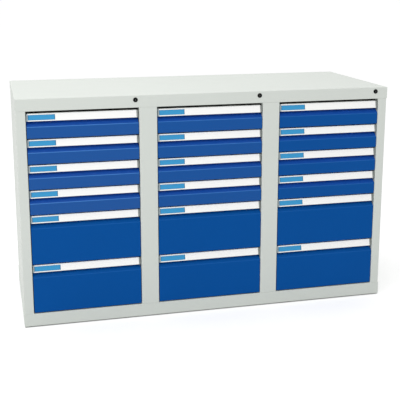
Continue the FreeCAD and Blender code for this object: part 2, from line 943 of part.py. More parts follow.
# ---------------------------------------------------------------- build, check and write


def check_document():
    """Stops if a feature failed to build or a sub-part has no valid solid."""
    for thing in doc.Objects:
        if {"Invalid", "Error"} & set(thing.State):
            raise RuntimeError(f"{thing.Name} did not build: {thing.State}")
    for thing in nodes:
        shape = thing.Shape
        if shape.isNull() or not shape.isValid() or not shape.Solids:
            raise RuntimeError(f"{thing.Label} has no valid solid")


def write_parts():
    os.makedirs("parts", exist_ok=True)
    for thing in nodes:
        thing.Shape.exportStep(f"parts/{thing.Label}.step")


def report_sizes():
    low = [min(getattr(thing.Shape.BoundBox, side) for thing in nodes) for side in ("XMin", "YMin", "ZMin")]
    high = [max(getattr(thing.Shape.BoundBox, side) for thing in nodes) for side in ("XMax", "YMax", "ZMax")]
    print("sub-parts", len(nodes), "solids", sum(len(thing.Shape.Solids) for thing in nodes))
    print("low", [round(value, 3) for value in low], "high", [round(value, 3) for value in high])


make_top_cover()
make_base()
for wall_side in ("left", "right"):
    make_side_panel(wall_side)
for divider_index in range(len(COLUMNS) - 1):
    make_divider(divider_index, ("left", "right")[divider_index])
make_back_panel()
make_back_screws()
make_feet()
make_uprights()
make_runners()
make_drawers()
make_locks()
doc.recompute()
check_document()
write_parts()
report_sizes()
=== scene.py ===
import math

import bmesh
import bpy
from mathutils import Matrix, Vector


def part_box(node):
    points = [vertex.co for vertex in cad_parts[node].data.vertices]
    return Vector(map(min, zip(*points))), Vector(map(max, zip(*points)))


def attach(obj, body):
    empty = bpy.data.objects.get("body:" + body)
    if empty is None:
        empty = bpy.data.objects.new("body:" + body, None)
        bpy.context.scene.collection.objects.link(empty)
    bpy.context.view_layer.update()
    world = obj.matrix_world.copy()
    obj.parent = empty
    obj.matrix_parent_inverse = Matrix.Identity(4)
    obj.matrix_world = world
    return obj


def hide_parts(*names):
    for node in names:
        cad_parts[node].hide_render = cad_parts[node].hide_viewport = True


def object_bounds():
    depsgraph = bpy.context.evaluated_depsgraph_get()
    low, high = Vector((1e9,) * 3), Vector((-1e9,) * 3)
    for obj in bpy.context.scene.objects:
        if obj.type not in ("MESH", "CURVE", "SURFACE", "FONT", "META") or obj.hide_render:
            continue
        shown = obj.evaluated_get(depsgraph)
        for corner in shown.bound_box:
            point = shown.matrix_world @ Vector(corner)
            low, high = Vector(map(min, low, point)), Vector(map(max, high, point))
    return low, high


# The looks of a wide steel cabinet with three columns of drawers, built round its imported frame.
# Everything is in metres in the frame's own axes: +X right, +Y to the back, +Z up.

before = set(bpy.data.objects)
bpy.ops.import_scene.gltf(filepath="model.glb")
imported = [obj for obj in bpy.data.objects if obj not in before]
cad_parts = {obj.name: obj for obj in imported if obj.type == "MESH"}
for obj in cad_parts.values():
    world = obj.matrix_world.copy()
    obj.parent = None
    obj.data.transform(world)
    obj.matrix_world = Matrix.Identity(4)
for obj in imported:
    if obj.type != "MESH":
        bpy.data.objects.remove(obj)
cad_low, cad_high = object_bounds()

MM = 0.001
COLUMNS = ("left", "middle", "right")
DRAWERS_PER_COLUMN = 6
SMALL_DRAWERS = 4

# ---------------------------------------------------------------- sizes

# the grip strip, seen from its end: a slanting face over a flange and a web
GRIP_TILT = 6 * MM
GRIP_WALL = 1.8 * MM
GRIP_LIP = 6 * MM
GRIP_WEB_RISE = 3.1 * MM
GRIP_ROUND = 0.8 * MM
LEFT_CAP_WIDTH = 5.4 * MM
RIGHT_CAP_WIDTH = 7.4 * MM

# the painted shade in the recess over a front's fold: its reach ahead of the tray, and where it is
# full
RECESS_SHADE_REACH = 26 * MM
RECESS_SHADE_FULL = RECESS_SHADE_REACH / 3

# the two rims that hold the card, and the channel between them
RIM_HEIGHT = 3.2 * MM
RIM_OVERHANG = 1.1 * MM
RIM_THICKNESS = 0.45 * MM
RIM_ROUND = 0.15 * MM
CHANNEL_DEPTH = 0.9 * MM

# the card in the channel and the printed field at its left end, with a darker line round it
CARD_THICKNESS = 0.3 * MM
CARD_END_GAP = 0.4 * MM
CARD_EDGE_GAP = 0.1 * MM
FIELD_START = 0.4 * MM
FIELD_LENGTH = 101 * MM
FIELD_RISE = 0.03 * MM
FIELD_EDGE_GAP = 1 * MM
FIELD_LINE = 1.5 * MM
FIELD_END_LINE = 3 * MM

# the moulded end caps, each with a shallow dimple in its face
CAP_PROUD = 0.25 * MM
CAP_EDGE_ROUND = 1.1 * MM
CAP_DIMPLE_DEPTH = 1.1 * MM
CAP_DIMPLE_HALF_SHARE = 0.35
CAP_DIMPLE_HALF_HEIGHT = 11 * MM
CAP_STATIONS = 18
CAP_FACE_STEPS = 26

# the rolled rim on the walls of each tray
TUB_HALF_WIDTH = 200 * MM
TUB_RIM_DROP = 5.5 * MM
TUB_SHEET = 1.2 * MM
HEM_REACH = 1.3 * MM
HEM_HEIGHT = 6 * MM
HEM_CROWN = 0.4 * MM

# the cam locks
LOCK_RING_RADIUS = 9 * MM
LOCK_RING_PROUD = 2 * MM
LOCK_RING_ROUND = 0.8 * MM
LOCK_BARREL_RADIUS = 8 * MM
LOCK_BARREL_LENGTH = 18 * MM
LOCK_BORE_RADIUS = 6.1 * MM
LOCK_NUT_RADIUS = 11 * MM
LOCK_NUT_THICKNESS = 4 * MM
LOCK_NUT_SIDES = 6
SHELL_SHEET = 1.5 * MM
PLUG_RADIUS = 6 * MM
PLUG_ROUND = 0.7 * MM
KEYWAY_HALF_WIDTH = 2.2 * MM
KEYWAY_HALF_HEIGHT = 4.3 * MM
KEYWAY_RISE = 0.25 * MM
KEYWAY_GAP = 0.03 * MM
KEY_SLOT_HALF_WIDTH = 0.6 * MM
KEY_SLOT_HALF_HEIGHT = 3.4 * MM
KEY_SLOT_DEPTH = 5 * MM

# the rubber pad of a levelling foot
FOOT_PAD_HEIGHT = 8 * MM

# the steps and tolerances of the meshes
ROUND_STEPS = 5
LATHE_STEPS = 48
SMOOTH_ANGLE = math.radians(32)
WELD_DISTANCE = 1e-7
TINY = 1e-9


# ---------------------------------------------------------------- material nodes


class Nodes:
    """A node tree, with short calls for the nodes that this script uses."""

    def __init__(self, tree):
        self.tree = tree

    def feed(self, socket, value):
        """Links another node's output to a socket, or sets a plain value on it."""
        if isinstance(value, bpy.types.NodeSocket):
            self.tree.links.new(value, socket)
        else:
            socket.default_value = value

    def node(self, kind, inputs=None, **settings):
        """A new node with its properties set and its inputs fed by name."""
        made = self.tree.nodes.new(kind)
        for name, value in settings.items():
            setattr(made, name, value)
        for name, value in (inputs or {}).items():
            self.feed(made.inputs[name], value)
        return made

    def calc(self, operation, *values):
        """The result of a math operation."""
        made = self.node("ShaderNodeMath", operation=operation)
        for socket, value in zip(made.inputs, values):
            self.feed(socket, value)
        return made.outputs["Value"]

    def times(self, first, second):
        return self.calc("MULTIPLY", first, second)

    def beyond(self, value, limit):
        """1 where the value is over the limit, and 0 elsewhere."""
        return self.calc("GREATER_THAN", value, limit)

    def ramp(self, value, first, last, start=0.0, end=1.0):
        """Goes from first to last as the value goes from start to end, and is held outside."""
        inputs = {
            "Value": value,
            "From Min": start,
            "From Max": end,
            "To Min": first,
            "To Max": last,
        }
        return self.node("ShaderNodeMapRange", inputs).outputs["Result"]

    def inverse(self, share):
        """1 minus the share."""
        return self.ramp(share, 1.0, 0.0)


class Graph(Nodes):
    """One material and its node tree: a principled shader fed from the piece's own coordinates."""

    def __init__(self, name):
        self.material = bpy.data.materials.new(name)
        self.material.use_nodes = True
        super().__init__(self.material.node_tree)
        self.shader = self.tree.nodes["Principled BSDF"]
        self.place = self.node("ShaderNodeTexCoord").outputs["Object"]

    def axis(self, vector, name):
        """A vector's X, Y or Z."""
        return self.node("ShaderNodeSeparateXYZ", {"Vector": vector}).outputs[name]

    def along(self, name):
        """One of the piece's own coordinates."""
        return self.axis(self.place, name)

    def noise(self, scale, detail, place=None):
        """Cloudy noise around 0.5; its lumps are about 1 / scale across."""
        inputs = {"Vector": place or self.place, "Scale": scale, "Detail": detail}
        return self.node("ShaderNodeTexNoise", inputs).outputs["Fac"]

    def streaks(self, scales, detail):
        """Noise with a scale of its own along each axis."""
        mapping = self.node("ShaderNodeMapping", {"Vector": self.place, "Scale": scales})
        return self.noise(1.0, detail, place=mapping.outputs["Vector"])

    def cells(self, scale):
        """A random grey for each cell of a crystal pattern."""
        made = self.node("ShaderNodeTexVoronoi", {"Vector": self.place, "Scale": scale})
        parts = self.node("ShaderNodeSeparateColor", {"Color": made.outputs["Color"]})
        return parts.outputs["Red"]

    def border(self, across, up):
        """1 in a frame along the edges of a flat piece that faces the front, and 0 inside it.

        Across and up are the frame's widths, as shares of the piece's length and height.
        """
        flat = self.node("ShaderNodeTexCoord").outputs["Generated"]
        inside = 1.0
        for name, width in (("X", across), ("Z", up)):
            place = self.axis(flat, name)
            inside = self.times(inside, self.beyond(place, width))
            inside = self.times(inside, self.beyond(1 - width, place))
        return self.inverse(inside)

    def mix(self, share, first, second):
        """The first colour at a share of 0 and the second at 1."""
        made = self.node("ShaderNodeMix", data_type="RGBA")
        colours = [socket for socket in made.inputs if socket.type == "RGBA"]
        self.feed(made.inputs["Factor"], share)
        for socket, colour in zip(colours, (first, second)):
            self.feed(socket, colour)
        return next(socket for socket in made.outputs if socket.type == "RGBA")

    def shaded(self, colour, dark, light, share):
        """The colour times dark at a share of 0 and times light at 1."""
        return self.mix(share, scaled(colour, dark), scaled(colour, light))

    def bump(self, height, strength, distance, under=None):
        """A normal bumped by the height, on top of another bumped normal where there is one."""
        inputs = {"Height": height, "Strength": strength, "Distance": distance}
        if under is not None:
            inputs["Normal"] = under
        return self.node("ShaderNodeBump", inputs).outputs["Normal"]

    def surface(self, **values):
        """Feeds the shader's sockets, a name's underscores standing for spaces, and returns
        the material.
        """
        for name, value in values.items():
            self.feed(self.shader.inputs[name.replace("_", " ")], value)
        return self.material


def rgb(red, green, blue):
    """A colour for a socket, from the sRGB values 0 to 255 that it has on a screen."""
    linear = []
    for channel in (red, green, blue):
        share = channel / 255
        linear.append(share / 12.92 if share <= 0.04045 else ((share + 0.055) / 1.055) ** 2.4)
    return (*linear, 1.0)


def scaled(colour, factor):
    """A colour made brighter or darker by a factor, up to white."""
    return (*[min(channel * factor, 1.0) for channel in colour[:3]], 1.0)


# ---------------------------------------------------------------- materials

WHITE = (1.0, 1.0, 1.0, 1.0)
CABINET_GREY = rgb(212, 217, 211)
# a darker grey for the painted shade low on the shell
LOW_SHADE_GREY = rgb(176, 182, 176)
DRAWER_BLUE = rgb(7, 79, 153)
# painted shade in the recess over the fold: a purplish blue for the low fronts and one for the
# large ones
SMALL_RECESS_SHADE_BLUE = rgb(27, 78, 173)
LARGE_RECESS_SHADE_BLUE = rgb(14, 84, 160)
# the painted highlight along a front's fold
FOLD_HIGHLIGHT_BLUE = rgb(62, 124, 196)
TUB_GREY = rgb(196, 200, 196)
STRIP_WHITE = rgb(249, 250, 249)
CARD_WHITE = rgb(251, 251, 249)
FIELD_BLUE = rgb(40, 150, 205)
FIELD_LINE_BLUE = rgb(24, 112, 156)
CAP_GREY = rgb(146, 160, 166)
# the same caps' grey made darker, as painted shade on the right caps
CAP_SHADE_GREY = rgb(132, 137, 134)
ZINC_GREY = rgb(186, 189, 190)
LOCK_BLACK = rgb(12, 14, 14)
NICKEL_GREY = rgb(74, 76, 74)
NYLON_BLACK = rgb(34, 34, 36)
RUBBER_BLACK = rgb(28, 28, 29)

# the powder coat: lumps per metre of its orange peel and of the grain on it
PEEL_SCALE = 420
GRAIN_SCALE = 2600

# the painted shade low on the shell, darker towards the floor: its share at the floor, and the
# heights between which it thins out
LOW_SHADE_SHARE = 0.09
LOW_SHADE_FULL = 50 * MM
LOW_SHADE_END = 450 * MM

# the dark specks in the shell's paint: their tint, their share and where the noise shows them
SPECK_TINT = 0.75
SPECK_SHARE = 0.05
SPECK_START = 0.55
SPECK_END = 0.75

# how far a front's normal points up: on the flat face 0, on the fold more, on the slope most; the
# painted highlight goes on the fold and the painted shade on the slope
FOLD_HIGHLIGHT_RISE = {"start": 0.03, "end": 0.2}
SLOPE_SHADE_RISE = {"start": 0.6, "end": 0.74}

# the share of the painted shade at the recess's mouth, against 1 further in
RECESS_SHADE_MOUTH_SHARE = 0.45

# the gloss of the fronts and the painted highlight along their fold, both differing a little by
# column
SMALL_FRONTS = {
    "left": {"level": 0.24, "highlight": 1.0},
    "middle": {"level": 0.18, "highlight": 0.7},
    "right": {"level": 0.07, "highlight": 0.3},
}
LARGE_FRONTS = {"level": 0.035, "highlight": 0.15}
FAINT_HIGHLIGHT = 0.8

# lumps per metre along X, Y and Z of the noises that are drawn out into lines or fibres
DIE_LINES = (6, 2400, 2400)
PAPER_FIBRES = (500, 1400, 1400)
DRAWN_LINES = (900, 8, 900)
TURNED_LINES = (2600, 500, 2600)

# the scale of the wave that draws the thread of a foot's stud, for a pitch of 1.5 mm
THREAD_SCALE = 210


def powder_coat(graph):
    """The fine orange peel of a powder coat, as a bump normal."""
    peel = graph.noise(PEEL_SCALE, detail=1.5)
    grain = graph.noise(GRAIN_SCALE, detail=1)
    peeled = graph.bump(peel, strength=0.12, distance=0.15 * MM)
    return graph.bump(grain, strength=0.05, distance=0.05 * MM, under=peeled)


def make_cabinet_paint():
    """Grey powder coat on the shell, slightly clouded and specked, with painted shade that darkens
    it towards the floor.
    """
    graph = Graph("cabinet_grey_powder_coat")
    cloud = graph.noise(scale=2.2, detail=3)
    clouded = graph.shaded(CABINET_GREY, dark=0.975, light=1.02, share=cloud)
    # painted shade: the grey darkens towards the floor
    low_shade = graph.ramp(graph.along("Z"), LOW_SHADE_SHARE, 0.0, start=LOW_SHADE_FULL, end=LOW_SHADE_END)
    low_shaded = graph.mix(low_shade, clouded, LOW_SHADE_GREY)
    noise = graph.noise(scale=900, detail=1)
    specks = graph.ramp(noise, 0.0, SPECK_SHARE, start=SPECK_START, end=SPECK_END)
    return graph.surface(
        Base_Color=graph.mix(specks, low_shaded, scaled(CABINET_GREY, SPECK_TINT)),
        Roughness=graph.ramp(graph.noise(scale=14, detail=3), 0.40, 0.52),
        Specular_IOR_Level=0.35,
        Normal=powder_coat(graph),
    )


def highlight_and_shade_shares(graph):
    """1 on a front's rounded fold, for its painted highlight, and 1 on the slope above it, for its
    painted shade; its flat face has 0 of both.
    """
    normal = graph.node("ShaderNodeNewGeometry").outputs["Normal"]
    rise = graph.axis(normal, "Z")
    slope = graph.ramp(rise, 0.0, 1.0, **SLOPE_SHADE_RISE)
    fold = graph.times(graph.ramp(rise, 0.0, 1.0, **FOLD_HIGHLIGHT_RISE), graph.inverse(slope))
    return fold, slope


def make_drawer_paint(name, front_end, recess, level, highlight):
    """Blue on the folded front, with a painted highlight along its fold, and light grey on the
    tray.

    The tray is what lies behind front_end. The slope over the fold turns to the recess colour, a
    painted shade.
    """
    graph = Graph(name)
    depth = graph.along("Y")
    behind = graph.beyond(depth, front_end)
    recess_shade_share = graph.ramp(
        depth,
        RECESS_SHADE_MOUTH_SHARE,
        1.0,
        start=front_end - RECESS_SHADE_REACH,
        end=front_end - RECESS_SHADE_FULL,
    )
    cloud = graph.noise(scale=2.7, detail=3)
    fold, slope = highlight_and_shade_shares(graph)
    patches = graph.noise(scale=35, detail=3)
    # painted highlight: the fold is lightened in patches, by the column's highlight share
    fold_highlight = graph.times(fold, graph.ramp(patches, highlight * FAINT_HIGHLIGHT, highlight, start=0.3, end=0.7))
    blue = graph.shaded(DRAWER_BLUE, dark=0.96, light=1.05, share=cloud)
    # painted shade: the slope in the recess turns to the shade blue, fuller further in
    blue = graph.mix(graph.times(slope, recess_shade_share), blue, recess)
    blue = graph.mix(fold_highlight, blue, FOLD_HIGHLIGHT_BLUE)
    grey = graph.shaded(TUB_GREY, dark=0.95, light=1.02, share=cloud)
    return graph.surface(
        Base_Color=graph.mix(behind, blue, grey),
        Roughness=graph.ramp(graph.noise(scale=11, detail=3), 0.28, 0.38),
        Specular_IOR_Level=level,
        Normal=powder_coat(graph),
    )


def make_strip_paint():
    """White lacquer on an aluminium extrusion, with the faint long lines of its die."""
    graph = Graph("grip_white_lacquer")
    lines = graph.streaks(DIE_LINES, detail=2)
    cloud = graph.noise(scale=5, detail=2)
    return graph.surface(
        Base_Color=graph.shaded(STRIP_WHITE, dark=0.975, light=1.0, share=cloud),
        Roughness=graph.ramp(lines, 0.30, 0.42),
        Specular_IOR_Level=0.45,
        Normal=graph.bump(lines, strength=0.10, distance=0.03 * MM),
    )


def make_card_paper(name, colour, dark, line=None):
    """Printed card under a clear film: soft paper fibre below a smooth coat.

    A line is (colour, share of the length, share of the height) and runs round the edge.
    """
    graph = Graph(name)
    fibre = graph.streaks(PAPER_FIBRES, detail=3)
    paper = graph.shaded(colour, dark=dark, light=1.0, share=fibre)
    if line is not None:
        line_colour, across, up = line
        paper = graph.mix(graph.border(across, up), paper, line_colour)
    return graph.surface(
        Base_Color=paper,
        Roughness=graph.ramp(fibre, 0.45, 0.6),
        Specular_IOR_Level=0.3,
        Coat_Weight=0.35,
        Coat_Roughness=0.12,
        Normal=graph.bump(fibre, strength=0.05, distance=0.02 * MM),
    )


def make_moulded_plastic(name, colour, rough=0.5, grain=1900, level=0.4):
    """Injection-moulded plastic with a spark-eroded grain."""
    graph = Graph(name)
    fine = graph.noise(grain, detail=2)
    cloud = graph.noise(scale=60, detail=2)
    return graph.surface(
        Base_Color=graph.shaded(colour, dark=0.92, light=1.06, share=cloud),
        Roughness=graph.ramp(fine, rough - 0.06, rough + 0.08),
        Specular_IOR_Level=level,
        Normal=graph.bump(fine, strength=0.25, distance=0.05 * MM),
    )


def make_galvanised():
    """Zinc-plated sheet: pale crystals of slightly different grey, drawn lines, a soft shine."""
    graph = Graph("galvanised_steel")
    lines = graph.streaks(DRAWN_LINES, detail=2)
    return graph.surface(
        Base_Color=graph.shaded(ZINC_GREY, dark=0.86, light=1.06, share=graph.cells(scale=130)),
        Metallic=0.85,
        Roughness=graph.ramp(graph.cells(scale=210), 0.32, 0.48),
        Normal=graph.bump(lines, strength=0.12, distance=0.03 * MM),
    )


def make_bright_metal(name, colour, rough):
    """Turned and plated metal, worn in fine rings."""
    graph = Graph(name)
    scratch = graph.streaks(TURNED_LINES, detail=3)
    cloud = graph.noise(scale=90, detail=2)
    return graph.surface(
        Base_Color=graph.shaded(colour, dark=0.88, light=1.03, share=cloud),
        Metallic=1.0,
        Roughness=graph.ramp(scratch, rough - 0.06, rough + 0.1),
        Normal=graph.bump(scratch, strength=0.08, distance=0.02 * MM),
    )


def make_foot_material(pad_top):
    """Black rubber up to the pad's top, zinc-plated thread above it."""
    graph = Graph("foot_rubber_and_zinc")
    metal = graph.beyond(graph.along("Z"), pad_top)
    thread = graph.node(
        "ShaderNodeTexWave",
        {"Vector": graph.place, "Scale": THREAD_SCALE, "Distortion": 0.0},
        bands_direction="Z",
    ).outputs["Fac"]
    grain = graph.noise(scale=1500, detail=2)
    rubber = graph.shaded(RUBBER_BLACK, dark=0.8, light=1.3, share=grain)
    relief = graph.mix(metal, grain, thread)
    return graph.surface(
        Base_Color=graph.mix(metal, rubber, ZINC_GREY),
        Metallic=graph.ramp(metal, 0.0, 0.9),
        Roughness=graph.ramp(metal, 0.75, 0.38),
        Normal=graph.bump(relief, strength=0.3, distance=0.2 * MM),
    )


# ---------------------------------------------------------------- meshes


def finished_mesh(name, shape):
    """A mesh from a bmesh, with outward normals and smooth shading across small angles."""
    bmesh.ops.remove_doubles(shape, verts=shape.verts, dist=WELD_DISTANCE)
    bmesh.ops.recalc_face_normals(shape, faces=shape.faces)
    mesh = bpy.data.meshes.new(name)
    shape.to_mesh(mesh)
    shape.free()
    mesh.shade_smooth()
    mesh.set_sharp_from_angle(angle=SMOOTH_ANGLE)
    return mesh


def skin_into(shape, first, second):
    """The band of faces between two closed loops of as many points."""
    count = len(first)
    for index in range(count):
        following = (index + 1) % count
        shape.faces.new((first[index], first[following], second[following], second[index]))


def loft_into(shape, sections):
    """A closed shell through loops of points, each joined to the next, with filled ends."""
    loops = [[shape.verts.new(point) for point in section] for section in sections]
    for first, second in zip(loops, loops[1:]):
        skin_into(shape, first, second)
    shape.faces.new(loops[0][::-1])
    shape.faces.new(loops[-1])


def lathe_into(shape, profile, centre, steps=LATHE_STEPS):
    """Turns a closed profile of (radius, y) points round the line along Y through centre."""
    rings = []
    for step in range(steps):
        angle = 2 * math.pi * step / steps
        across = Vector((math.cos(angle), 0, math.sin(angle)))
        points = [centre + across * radius + Vector((0, y, 0)) for radius, y in profile]
        rings.append([shape.verts.new(point) for point in points])
    for first, second in zip(rings, rings[1:] + rings[:1]):
        skin_into(shape, first, second)


def rounded_outline(corners):
    """A flat outline from (a, b, radius) corners; a corner with a radius becomes an arc."""
    outline = []
    for index, (a, b, radius) in enumerate(corners):
        corner = Vector((a, b))
        if radius == 0:
            outline.append(corner)
            continue
        before = (Vector(corners[index - 1][:2]) - corner).normalized()
        after = (Vector(corners[(index + 1) % len(corners)][:2]) - corner).normalized()
        half = before.angle(after) / 2
        centre = corner + (before + after).normalized() * (radius / math.sin(half))
        start = corner + before * (radius / math.tan(half)) - centre
        end = corner + after * (radius / math.tan(half)) - centre
        turn = -start.angle_signed(end)
        for step in range(ROUND_STEPS + 1):
            outline.append(centre + Matrix.Rotation(turn * step / ROUND_STEPS, 2) @ start)
    return outline


def link_object(name, data):
    """A new object in the scene."""
    made = bpy.data.objects.new(name, data)
    bpy.context.scene.collection.objects.link(made)
    return made


def add_piece(name, shape, material, body):
    """A new piece of the cabinet: it rides on a body and takes the given material."""
    mesh = finished_mesh(name, shape)
    piece = link_object(name, mesh)
    mesh.materials.append(material)
    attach(piece, body)
    return piece


def dress(node, material):
    """Gives a CAD node its material."""
    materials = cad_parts[node].data.materials
    materials.clear()
    materials.append(material)


# ---------------------------------------------------------------- grip strips


class Grip:
    """One drawer's grip: its place, read from its CAD node, and the sections of its strip."""

    def __init__(self, drawer):
        low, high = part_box(f"{drawer}_grip")
        self.drawer = drawer
        self.front, self.back = low.y, high.y
        self.low, self.top = low.z, high.z
        self.left, self.right = low.x, high.x
        self.strip_left = self.left + LEFT_CAP_WIDTH
        self.strip_right = self.right - RIGHT_CAP_WIDTH
        self.face = math.hypot(GRIP_TILT, self.top - self.low)
        self.lean = math.atan2(GRIP_TILT, self.top - self.low)

    def on_face(self, up, out):
        """(y, z) of a point: up along the slanting face from its lower edge, and out from it."""
        y = self.front + up * math.sin(self.lean) - out * math.cos(self.lean)
        z = self.low + up * math.cos(self.lean) + out * math.sin(self.lean)
        return y, z

    def rear_corners(self):
        """The flange over the finger recess, the web on the leaf and the slanting wall's back."""
        inner = self.low + GRIP_WALL
        across = GRIP_WALL / math.cos(self.lean)
        slope = math.tan(self.lean)
        ceiling = self.top - GRIP_WALL
        web_low = self.low + GRIP_WEB_RISE
        return [
            (self.back, self.top, 0),
            (self.back, web_low, 0),
            (self.back - GRIP_WALL, web_low, 0),
            (self.back - GRIP_WALL, ceiling, 0),
            (self.front + slope * (ceiling - self.low) + across, ceiling, 0),
            (self.front + slope * GRIP_WALL + across, inner, 0),
            (self.front + GRIP_LIP, inner, 0),
            (self.front + GRIP_LIP, self.low, 0),
        ]

    def strip_outline(self):
        """The extrusion's end view, from its lower front edge over both rims and round the back."""
        face = self.face
        mouth = RIM_HEIGHT
        root = RIM_HEIGHT - RIM_OVERHANG
        rims = [
            (0, 0, GRIP_ROUND),
            (mouth, 0, RIM_ROUND),
            (mouth, -RIM_THICKNESS, 0),
            (root, -RIM_THICKNESS, 0),
            (root, -CHANNEL_DEPTH, 0),
            (face - root, -CHANNEL_DEPTH, 0),
            (face - root, -RIM_THICKNESS, 0),
            (face - mouth, -RIM_THICKNESS, 0),
            (face - mouth, 0, RIM_ROUND),
            (face, 0, GRIP_ROUND),
        ]
        front = [(*self.on_face(up, out), radius) for up, out, radius in rims]
        return rounded_outline(front + self.rear_corners())

    def slab(self, left, right, up_low, up_high, under, over):
        """The eight corners of a flat strip in the channel, as two sections across it.

        It goes from up_low to up_high along the slanting face, and from under to over out of it.
        """
        corners = [
            self.on_face(up_low, under),
            self.on_face(up_low, over),
            self.on_face(up_high, over),
            self.on_face(up_high, under),
        ]
        return [[(x, y, z) for y, z in corners] for x in (left, right)]


def make_strip(grip, material):
    """The white extrusion, which stands for the whole CAD grip."""
    shape = bmesh.new()
    outline = grip.strip_outline()
    ends = (grip.strip_left, grip.strip_right)
    loft_into(shape, [[(x, y, z) for y, z in outline] for x in ends])
    name = f"{grip.drawer}_grip_strip"
    piece = add_piece(name, shape, material, grip.drawer)
    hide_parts(f"{grip.drawer}_grip")


def make_card(grip, material):
    """The white card, held by its long edges under the rims."""
    edge = RIM_HEIGHT - RIM_OVERHANG + CARD_EDGE_GAP
    left = grip.strip_left + CARD_END_GAP
    right = grip.strip_right - CARD_END_GAP
    over = CARD_THICKNESS - CHANNEL_DEPTH
    shape = bmesh.new()
    loft_into(shape, grip.slab(left, right, edge, grip.face - edge, -CHANNEL_DEPTH, over))
    add_piece(f"{grip.drawer}_label_card", shape, material, grip.drawer)


def make_field(grip, material):
    """The light blue field on the left end of the card; it carries no text."""
    edge = RIM_HEIGHT + FIELD_EDGE_GAP
    left = grip.strip_left + FIELD_START
    right = left + FIELD_LENGTH
    under = CARD_THICKNESS - CHANNEL_DEPTH
    shape = bmesh.new()
    loft_into(shape, grip.slab(left, right, edge, grip.face - edge, under, under + FIELD_RISE))
    add_piece(f"{grip.drawer}_label_field", shape, material, grip.drawer)


def cap_section(grip, x, along, width):
    """One cross-section of an end cap: a rounded, dimpled face on the strip's own outline.

    Along is the section's distance from the strip, in a cap of the given width.
    """
    edge = min(along, width - along)
    slack = max(CAP_EDGE_ROUND - edge, 0)
    sink = CAP_EDGE_ROUND - math.sqrt(max(CAP_EDGE_ROUND**2 - slack**2, 0))
    points = []
    for step in range(CAP_FACE_STEPS + 1):
        up = grip.face * step / CAP_FACE_STEPS
        reach = ((along / width - 0.5) / CAP_DIMPLE_HALF_SHARE) ** 2
        reach += ((up - grip.face / 2) / CAP_DIMPLE_HALF_HEIGHT) ** 2
        dimple = CAP_DIMPLE_DEPTH * (1 - reach) ** 2 if reach < 1 else 0
        points.append(grip.on_face(up, CAP_PROUD - sink - dimple))
    points += [
        (grip.back, grip.top),
        (grip.back, grip.low + GRIP_WEB_RISE),
        (grip.front + GRIP_LIP, grip.low),
    ]
    return [(x, y, z) for y, z in points]


def make_cap(grip, side, material):
    """The moulded cap on one end of a strip."""
    if side == "left":
        inner, outer = grip.strip_left, grip.left
    else:
        inner, outer = grip.strip_right, grip.right
    reach = outer - inner
    width = abs(reach)
    sections = []
    for step in range(CAP_STATIONS + 1):
        share = step / CAP_STATIONS
        sections.append(cap_section(grip, inner + reach * share, width * share, width))
    shape = bmesh.new()
    loft_into(shape, sections)
    add_piece(f"{grip.drawer}_grip_cap_{side}", shape, material, grip.drawer)


def make_hem(drawer, material):
    """The rolled rim along the side and back walls of a tray, mitred at the back corners."""
    low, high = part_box(f"{drawer}_tray")
    grip_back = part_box(f"{drawer}_grip")[1].y
    middle = (low.x + high.x) / 2
    left, right = middle - TUB_HALF_WIDTH, middle + TUB_HALF_WIDTH
    front, back = grip_back + TUB_SHEET, high.y - HEM_REACH
    top = high.z - TUB_RIM_DROP
    outline = rounded_outline(
        [
            (-TUB_SHEET, HEM_CROWN, TUB_SHEET / 2),
            (HEM_REACH, HEM_CROWN, HEM_REACH / 2),
            (HEM_REACH, -HEM_HEIGHT, HEM_REACH / 2),
            (-TUB_SHEET, -HEM_HEIGHT, TUB_SHEET / 2),
        ]
    )
    sections = []
    for x, y, out in (
        (left, front, Vector((-1, 0, 0))),
        (left, back, Vector((-1, 1, 0))),
        (right, back, Vector((1, 1, 0))),
        (right, front, Vector((1, 0, 0))),
    ):
        sections.append([Vector((x, y, top)) + out * a + Vector((0, 0, b)) for a, b in outline])
    shape = bmesh.new()
    loft_into(shape, sections)
    add_piece(f"{drawer}_tray_hem", shape, material, drawer)


# ---------------------------------------------------------------- locks


def lock_place(column):
    """The middle of a lock on the face of the top rail."""
    low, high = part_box(f"lock_plug_{column}")
    rail_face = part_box("top_cover")[0].y
    return Vector(((low.x + high.x) / 2, rail_face, (low.z + high.z) / 2))


def make_lock_housing(column, material):
    """Ring, barrel and the six-sided nut behind the rail."""
    centre = lock_place(column)
    shape = bmesh.new()
    ring = rounded_outline(
        [
            (LOCK_BORE_RADIUS, -LOCK_RING_PROUD, 0),
            (LOCK_RING_RADIUS, -LOCK_RING_PROUD, LOCK_RING_ROUND),
            (LOCK_RING_RADIUS, 0, 0),
            (LOCK_BARREL_RADIUS, 0, 0),
            (LOCK_BARREL_RADIUS, LOCK_BARREL_LENGTH, 0),
            (LOCK_BORE_RADIUS, LOCK_BARREL_LENGTH, 0),
        ]
    )
    lathe_into(shape, ring, centre)
    nut_back = SHELL_SHEET + LOCK_NUT_THICKNESS
    nut = [
        (LOCK_BARREL_RADIUS, SHELL_SHEET),
        (LOCK_NUT_RADIUS, SHELL_SHEET),
        (LOCK_NUT_RADIUS, nut_back),
        (LOCK_BARREL_RADIUS, nut_back),
    ]
    lathe_into(shape, nut, centre, steps=LOCK_NUT_SIDES)
    return add_piece(f"lock_housing_{column}", shape, material, "cabinet")


def circle(radius):
    """A circle's points as (x, z), by their angle."""
    return lambda angle: (math.cos(angle) * radius, math.sin(angle) * radius)


def rectangle(half_width, half_height):
    """The points (x, z) where rays from a rectangle's middle meet its edge, by their angle."""

    def point(angle):
        across, up = math.cos(angle), math.sin(angle)
        reach = min(half_width / max(abs(across), TINY), half_height / max(abs(up), TINY))
        return across * reach, up * reach

    return point


